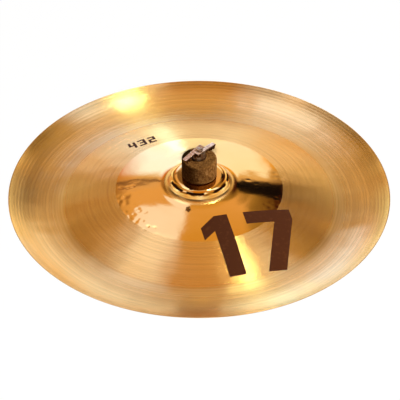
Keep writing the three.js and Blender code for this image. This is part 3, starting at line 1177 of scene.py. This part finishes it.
@dataclass
class WingNutCasting:
    """The cast wing nut: a low hub, and two ribbed wings that run across it on both sides of the bore."""

    turn: float = math.radians(50.0)
    bore: float = 4.15
    drilled: Span = (84.1, 99.0)
    hub: tuple[Point, ...] = ((3.2, 86.1), (8.1, 86.1), (8.6, 86.7), (7.1, 92.6), (6.5, 93.2), (3.2, 93.2))
    sides: int = 96
    back: float = -8.2
    tip: float = 23.0
    tip_slant: float = 2.6
    slant_start: float = 15.0
    root_top: float = 95.1
    tip_top: float = 92.2
    top_bend: float = 1.3
    foot: float = 86.8
    arch: float = 90.7
    arch_span: Span = (8.5, 6.0)
    middle: float = -2.7
    root_half: float = 3.3
    tip_half: float = 2.7
    stations: int = 113
    levels: int = 29
    cells: tuple[float, ...] = (10.9, 14.9, 18.9)
    cell_half: float = 1.75
    cell_depth: float = 1.9
    cell_side: float = 0.55
    cell_cover: float = 1.1
    cell_arch: float = 0.35
    cell_edge: float = 0.5
    voxel: float = 0.26 * MM
    smoothing: int = 6

    def build(self) -> bpy.types.Object:
        """Makes the casting and fastens it to its body."""
        body = bmesh.new()
        hub = turned_points(np.array(self.hub), self.sides)
        self._add_grid(body, np.concatenate([hub, hub[:1]]))
        for turn in (self.turn, self.turn + math.pi):
            self._add_wing(body, turn)
        draft = linked("casting_draft", settled(body))
        bar = turned_points(np.array([(self.bore, height) for height in self.drilled]), self.sides)
        drill = linked("bore_drill", grid_mesh(bar, closed=False))
        for kind, settings in (
            ("REMESH", {"mode": "VOXEL", "voxel_size": self.voxel}),
            ("SMOOTH", {"factor": 0.5, "iterations": self.smoothing}),
            ("BOOLEAN", {"operation": "DIFFERENCE", "solver": "EXACT", "object": drill}),
        ):
            modifier = draft.modifiers.new(kind, kind)
            for name, setting in settings.items():
                setattr(modifier, name, setting)
        bpy.context.view_layer.update()
        graph = bpy.context.evaluated_depsgraph_get()
        mesh = bpy.data.meshes.new_from_object(draft.evaluated_get(graph), depsgraph=graph)
        bpy.data.objects.remove(draft)
        bpy.data.objects.remove(drill)
        mesh.materials.clear()
        seat = Seat(Body.WING_NUT, Slot.CHROME, ("wing_nut",))
        return seat.take("wing_nut_casting", mesh, [PlatedCasting()], sharp=60.0)

    @staticmethod
    def _add_grid(body: bmesh.types.BMesh, points: np.ndarray) -> None:
        """Adds rings of points as bands of faces."""
        rows = [[body.verts.new(point) for point in row] for row in points]
        for low, high in zip(rows, rows[1:]):
            for corners in zip(low, low[1:] + low[:1], high[1:] + high[:1], high):
                body.faces.new(corners)
        bmesh.ops.remove_doubles(body, verts=body.verts, dist=1e-7)

    def _add_wing(self, body: bmesh.types.BMesh, turn: float) -> None:
        """Adds one wing: rings of points round it at stations from its root to its tip.

        Args:
            body: the mesh that grows.
            turn: the direction of the wing from +X towards +Y.
        """
        stations = np.linspace(self.back, self.tip, self.stations)
        levels = np.linspace(0.0, 1.0, self.levels)
        length = (stations - self.back) / (self.tip - self.back)
        tops = self.root_top + (self.tip_top - self.root_top) * length**self.top_bend
        fall = along(stations, *self.arch_span)
        floors = self.arch + (self.foot - self.arch) * fall * fall * (3.0 - 2.0 * fall)
        halves = self.root_half + (self.tip_half - self.root_half) * length
        rings = []
        for u, top, floor, half in zip(stations, tops, floors, halves):
            z = floor + (top - floor) * levels
            depth = self._recess(u, z, top)
            lean = along(u, self.slant_start, self.tip - self.slant_start)
            reach = u - self.tip_slant * lean * (1.0 - (z - self.foot) / (self.tip_top - self.foot))
            near = np.stack([reach, self.middle - half + depth, z], axis=-1)
            far = np.stack([reach, self.middle + half - depth, z], axis=-1)
            rings.append(np.vstack([near, far[::-1]]))
        ends = [np.broadcast_to(rings[i].mean(axis=0), rings[i].shape) for i in (0, -1)]
        x, y, z = np.moveaxis(np.array([ends[0], *rings, ends[1]]), -1, 0)
        cos, sin = math.cos(turn), math.sin(turn)
        self._add_grid(body, np.stack([x * cos - y * sin, x * sin + y * cos, z], axis=-1) * MM)

    def _recess(self, u: float, z: np.ndarray, top: float) -> np.ndarray:
        """How deep the arched recesses between the ribs are at one station, in millimetres."""
        depth = np.zeros_like(z)
        for cell in self.cells:
            off = abs(u - cell)
            side = along(off, self.cell_half, -self.cell_side)
            arch = top - self.cell_cover - self.cell_arch * off * off
            depth = np.maximum(depth, self.cell_depth * side * along(z, arch, -self.cell_edge))
        return depth


# The studio


@dataclass(frozen=True)
class Panel:
    """A lit or dark panel of the studio, placed by the slope of the metal that mirrors it to the viewer."""

    x: float
    y: float
    width: float
    height: float
    colour: Colour
    turn: float = 0.0
    soft: float = 0.02


# colours from the low slopes to the high ones
SKY = (
    (0.300, (0.145, 0.066, 0.002)),
    (0.343, (0.154, 0.131, 0.114)),
    (0.381, (0.156, 0.097, 0.023)),
    (0.485, (0.190, 0.128, 0.062)),
    (0.503, (0.178, 0.130, 0.080)),
    (0.522, (0.185, 0.148, 0.085)),
    (0.570, (0.019, 0.017, 0.041)),
    (0.595, (0.210, 0.251, 0.279)),
    (0.675, (0.211, 0.195, 0.125)),
    (0.720, (0.270, 0.265, 0.200)),
)

# from the panels behind to the ones in front
PANELS = (
    # the ceiling's darker halves
    Panel(0.240, -0.146, 0.202, 0.330, (0.40, 0.275, 0.084), turn=0.11, soft=0.024),
    Panel(-0.342, -0.060, 0.200, 0.235, (0.176, 0.099, 0.010), turn=0.14, soft=0.050),
    # the lit wall, brightest left of the middle
    Panel(-0.140, 0.129, 0.174, 0.159, (1.32, 1.90, 3.5), turn=-0.12, soft=0.019),
    Panel(0.120, 0.135, 0.162, 0.165, (1.30, 1.52, 1.9), turn=-0.01, soft=0.010),
    Panel(0.250, 0.218, 0.174, 0.257, (1.127, 0.664, 0.010), turn=0.30, soft=0.033),
    # gaps between the lights on both sides
    Panel(0.315, -0.025, 0.209, 0.245, (0.066, 0.017, 0.010), turn=-0.45, soft=0.048),
    Panel(-0.291, 0.111, 0.180, 0.187, (0.801, 0.302, 0.010), turn=0.08, soft=0.063),
    # the far ends of the wall and its dimmer patches
    Panel(0.552, 0.070, 0.29, 0.38, (1.38, 1.24, 0.82), turn=0.58, soft=0.055),
    Panel(-0.524, 0.189, 0.326, 0.409, (1.341, 1.467, 1.109), turn=-0.68, soft=0.016),
    Panel(-0.402, 0.006, 0.152, 0.279, (0.276, 0.178, 0.070), turn=-0.16, soft=0.045),
    Panel(0.330, 0.199, 0.077, 0.158, (0.817, 0.578, 0.250), turn=-0.01, soft=0.087),
    Panel(-0.008, 0.302, 0.331, 0.152, (1.932, 2.009, 1.9), turn=0.27, soft=0.059),
    Panel(-0.180, -0.335, 0.115, 0.215, (2.0, 2.2, 2.5), turn=-0.52, soft=0.030),
    Panel(-0.290, 0.000, 0.130, 0.090, (0.45, 0.26, 0.10), soft=0.035),
    # low light round the right
    Panel(0.330, 0.360, 0.40, 0.15, (1.4, 1.6, 1.8), turn=-0.76, soft=0.03),
    # a narrow bright gap in the wall
    Panel(-0.101, 0.250, 0.050, 0.22, (2.4, 3.6, 4.6), turn=0.385, soft=0.014),
    # the dark flag on the right and the line on the left
    Panel(0.172, -0.012, 0.145, 0.060, (0.006, 0.005, 0.008), turn=-0.08, soft=0.008),
    Panel(-0.150, 0.019, 0.168, 0.012, (0.22, 0.13, 0.08), soft=0.005),
    Panel(-0.042, -0.020, 0.110, 0.100, (0.25, 0.16, 0.08), soft=0.020),
    # the softbox
    Panel(-0.127, -0.217, 0.130, 0.246, (1.20, 1.34, 2.05), turn=-0.22, soft=0.010),
    Panel(-0.160, -0.268, 0.115, 0.150, (1.8, 2.15, 3.0), turn=-0.45, soft=0.030),
)


@dataclass(frozen=True)
class Lamp:
    """A round lamp that shines on the object; its lengths are in metres and its power in watts."""

    name: str
    aim: Vector
    distance: float
    size: float
    power: float
    colour: Colour
    mirrored: bool
    target: Triple = (0.0, 0.0, 0.05)

    def build(self) -> None:
        """Puts the lamp into the scene; polished metal shows it only if it is mirrored."""
        data = bpy.data.lights.new(self.name, "AREA")
        data.shape = "DISK"
        data.size = self.size
        data.energy = self.power
        data.color = self.colour
        lamp = aimed(self.name, data, self.aim, Vector(self.target) + self.aim * self.distance)
        lamp.visible_glossy = self.mirrored
        lamp.visible_camera = False


@dataclass
class Studio:
    """Camera, floor, world and lamps.

    The arc's side and gaps are directions in degrees with the cosines where the arc starts to show and
    shows fully.
    """

    elevation: float = math.radians(38.42)
    distance: float = 3.0
    lens: float = 238.5
    target: Triple = (0.000906, 0.0, 0.0343)
    lowered: float = 8.76 * MM
    floor_height: float = -0.9
    floor_size: float = 6.0
    floor_pale: Colour = (0.86, 0.86, 0.85)
    floor_paler: Colour = (0.9, 0.9, 0.89)
    floor_glow: float = 1.03
    floor_white: float = 0.95
    key_slope: Point = (0.130, -0.310)
    side_aim: Triple = (0.90, -0.36, 0.66)
    room_light: Colour = (0.10, 0.09, 0.08)
    brightness: float = 5.0
    lowest: float = 0.12
    wobble: float = 0.012
    arc_colour: Colour = (0.022, 0.010, 0.006)
    arc_inner: Span = (0.58, 0.66)
    arc_outer: Span = (1.35, 1.15)
    arc_side: Triple = (76.0, 0.0, 0.08)
    arc_gaps: tuple[Triple, ...] = ((69.0, 0.992, 0.978), (121.0, 0.9992, 0.996), (19.0, 0.998, 0.994))

    def build(self) -> None:
        """Makes the whole studio."""
        self._camera()
        self._world()
        self._floor()
        self._lamps()
        bpy.context.scene.view_settings.view_transform = "Standard"

    def _view_axis(self) -> Vector:
        """The direction from the object to the camera."""
        return Vector((0.0, -math.cos(self.elevation), math.sin(self.elevation)))

    def _camera(self) -> None:
        """The camera at the photograph's viewing angle."""
        back = self._view_axis()
        data = bpy.data.cameras.new("camera")
        data.lens = self.lens
        data.sensor_width = 36.0
        data.clip_start, data.clip_end = 0.1, 60.0
        up = Vector((0.0, math.sin(self.elevation), math.cos(self.elevation)))
        place = Vector(self.target) + back * self.distance - up * self.lowered
        bpy.context.scene.camera = aimed("camera", data, back, place)

    def _world(self) -> None:
        """White to the camera; to mirrored rays a warm studio that is the same from four sides, and to the
        rest a dim room light.
        """
        world = bpy.data.worlds.new("studio")
        world.use_nodes = True
        bpy.context.scene.world = world
        g = Graph(world.node_tree)
        direction = g.read("ShaderNodeTexCoord", "Generated")
        x, y, z = g.axes(direction)
        quarter = math.pi / 2.0
        azimuth = g.maths("ARCTAN2", x, y)
        folded = azimuth - quarter * g.maths("ROUND", azimuth / quarter)
        level = g.length(x, y)
        view = self._view_axis()
        base = g.maths("MAXIMUM", z + view.z, self.lowest)
        slope_x = level * g.maths("SINE", folded) / base
        slope_y = (level * g.maths("COSINE", folded) + view.y) / base
        grain = self.wobble * (g.noise(direction, 9.0) - 0.5)
        colour = g.scaled(g.ramp(0.5 + 0.5 * slope_y, SKY), self.brightness)
        for panel in PANELS:
            cos, sin = math.cos(panel.turn), math.sin(panel.turn)
            off_x, off_y = slope_x - panel.x, slope_y - panel.y
            across = off_x * cos + off_y * sin + grain
            upward = off_y * cos - off_x * sin
            inside = g.within(across, panel.width / 2, panel.soft)
            inside = inside * g.within(upward, panel.height / 2, panel.soft)
            colour = g.mix(inside, colour, panel.colour)
        colour = g.mix(self._dark_arc(g, x / base, (y + view.y) / base), colour, self.arc_colour)
        room, studio, page = (
            g.node("ShaderNodeBackground", None, {"Color": light, "Strength": 1.0})
            for light in (self.room_light, colour, WHITE)
        )
        mirrored = g.blended(g.ray("Is Glossy Ray"), room, studio)
        surface = g.blended(g.ray("Is Camera Ray"), mirrored, page)
        g.node("ShaderNodeOutputWorld", None, {"Surface": surface})

    def _dark_arc(self, g: Graph, x: Term, y: Term) -> Term:
        """The unlit surround of the lights, an arc with three gaps that the bell's shoulder mirrors."""
        steepness = g.length(x, y)

        def towards(angle: float) -> Term:
            """Cosine of the angle between the slope and a direction, clockwise from the right."""
            turn = math.radians(angle)
            return (x * math.cos(turn) - y * math.sin(turn)) / steepness

        arc = g.smooth(steepness, *self.arc_inner) * g.smooth(steepness, *self.arc_outer)
        for middle, start, end in (self.arc_side, *self.arc_gaps):
            arc = arc * g.smooth(towards(middle), start, end)
        return arc

    def _floor(self) -> None:
        """A pale floor that looks white and keeps a faint shadow; from below it is clear."""
        half = self.floor_size / 2
        corners = [(-half, -half, 0.0), (half, -half, 0.0), (half, half, 0.0), (-half, half, 0.0)]
        mesh = bpy.data.meshes.new("floor")
        mesh.from_pydata(corners, [], [(0, 1, 2, 3)])
        floor = place_mesh("floor", mesh, material("pale_floor", self._paint_floor))
        floor.location.z = self.floor_height

    def _paint_floor(self, g: Graph, place: Term) -> Term:
        """The floor's shader."""
        colour = g.mix(g.noise(place, 1.2, detail=2.0), self.floor_pale, self.floor_paler)
        paint = g.node("ShaderNodeBsdfDiffuse", None, {"Color": colour})
        white = g.node("ShaderNodeEmission", None, {"Color": WHITE, "Strength": self.floor_glow})
        seen = g.maths("MAXIMUM", g.ray("Is Camera Ray"), g.ray("Is Glossy Ray"))
        seen = g.maths("MAXIMUM", seen, g.ray("Is Transmission Ray"))
        pale = g.blended(self.floor_white * seen, paint, white)
        below = g.read("ShaderNodeNewGeometry", "Backfacing")
        return g.blended(below, pale, g.node("ShaderNodeBsdfTransparent"))

    def _lamps(self) -> None:
        """A small warm lamp overhead and a broad one from the right."""
        view = self._view_axis()
        tilt = Vector((*self.key_slope, 1.0))
        aim = (tilt * (2.0 * tilt.dot(view) / tilt.dot(tilt)) - view).normalized()
        side = Vector(self.side_aim).normalized()
        spot = {"distance": 2.4, "size": 0.19, "power": 3.7, "colour": (0.80, 1.0, 0.70)}
        broad = {"distance": 2.2, "size": 0.6, "power": 108.0, "colour": (1.0, 0.90, 0.78)}
        Lamp("spot_lamp", aim, mirrored=True, **spot).build()
        Lamp("side_lamp", side, mirrored=False, **broad).build()


def main() -> None:
    """Builds the studio and every piece."""
    logging.basicConfig(level=logging.INFO, format="%(message)s")
    Studio().build()
    plate = CymbalPlate()
    makers = [
        plate,
        NumberMark(plate, "size_number", "17", height=84.0, centre=(60.0, -89.0), turn=math.radians(15.0)),
        NumberMark(
            plate,
            "width_number",
            "432",
            height=15.0,
            centre=(-66.0, 92.0),
            turn=math.radians(26.0),
            slant=0.15,
            spacing=0.9,
        ),
        FeltRing("upper_felt", radius=20.0, floor=60.3, height=23.6, joined=(Body.FELTS, Body.SLEEVE)),
        FeltRing(
            "lower_felt", radius=19.0, floor=46.6, height=12.0, joined=(Body.SLEEVE, Body.FELTS), seed=50.0
        ),
        ThreadedRod(),
        HexNut(),
        *stack_pieces(),
        WingNutCasting(),
    ]
    for maker in makers:
        piece = maker.build()
        LOG.info("%s: %d faces", piece.name, len(piece.data.polygons))


if __name__ == "__main__":
    main()
